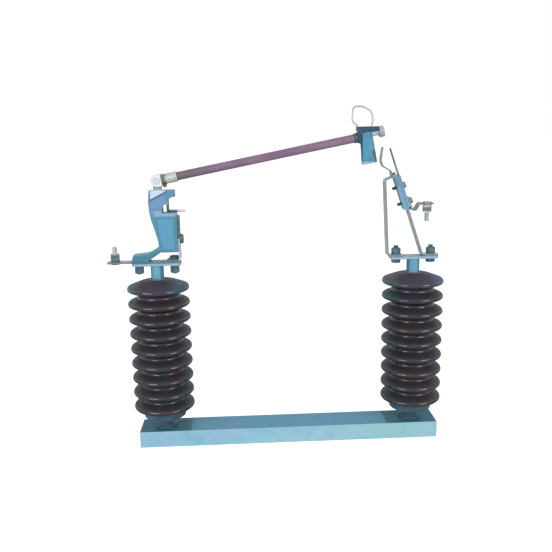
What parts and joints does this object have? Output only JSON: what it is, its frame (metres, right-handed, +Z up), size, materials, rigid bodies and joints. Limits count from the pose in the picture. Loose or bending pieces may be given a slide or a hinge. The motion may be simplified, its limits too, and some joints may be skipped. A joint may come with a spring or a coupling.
{
  "type": "drop-out fuse",
  "caption": "Drop-out fuse on a steel channel base: ribbed post insulators, a hinge casting with a line terminal, a spring contact with a load terminal and a hinged fuse tube with a pull ring.",
  "frame": {"origin": "under the middle of the overall length and width, at the level of the channel's flange toes", "axes": "+Z up, +X along the channel from the hinge side to the contact side, +Y away from the front"},
  "size_m": [0.785, 0.144, 0.7898],
  "materials": {
    "channel_paint": "pale blue grey paint, satin",
    "casting_paint": "steel blue paint, satin",
    "porcelain": "dark brown glaze, glossy",
    "steel": "galvanised steel, dull",
    "dark_steel": "dark weathered steel",
    "silver": "bright plated metal",
    "bronze": "dull greenish bronze",
    "copper": "copper, dull",
    "tube_paint": "mauve enamel on a fibre tube"
  },
  "bodies": {
    "base": {"arm_foot_bolt": "steel", "base_channel": "channel_paint", "clamp_plate": "dark_steel", "contact_arm": "steel", "contact_block": "casting_paint", "contact_finger": "silver", "contact_screw": "dark_steel", "foot_stud": "steel", "heel_bolt": "steel", "heel_strap": "dark_steel", "heel_strap_bolt": "dark_steel", "hinge_casting": "casting_paint", "hinge_pin": "steel", "horn_rod": "dark_steel", "keeper_bar": "dark_steel", "ledge_rod": "dark_steel", "left_base_bolt": "steel", "left_base_fitting": "casting_paint", "left_insulator": "porcelain", "left_top_fitting": "channel_paint", "line_terminal_nut": "dark_steel", "line_terminal_strip": "steel", "line_terminal_stud": "steel", "load_terminal_nut": "dark_steel", "load_terminal_strip": "steel", "load_terminal_stud": "steel", "lower_block_bolt": "steel", "right_base_bolt": "steel", "right_base_fitting": "casting_paint", "right_insulator": "porcelain", "right_top_fitting": "channel_paint", "stay_foot_bolt": "steel", "stay_strip": "steel", "upper_block_bolt": "steel"},
    "fuse_carrier": {"front_fork_cheek": "silver", "back_fork_cheek": "silver", "lower_collar": "bronze", "contact_shoe": "copper", "lower_ferrule": "silver", "fuse_tube": "tube_paint", "upper_collar": "dark_steel", "upper_fitting": "casting_paint", "end_cap": "silver", "pull_ring": "steel", "contact_blade": "casting_paint"}
  },
  "joints": [
    {"name": "carrier_hinge", "type": "hinge", "parent": "base", "child": "fuse_carrier", "pos_m": [-0.2685, 0, 0.6335], "axis": [0, -1, 0], "range_deg": [0, 150]}
  ]
}
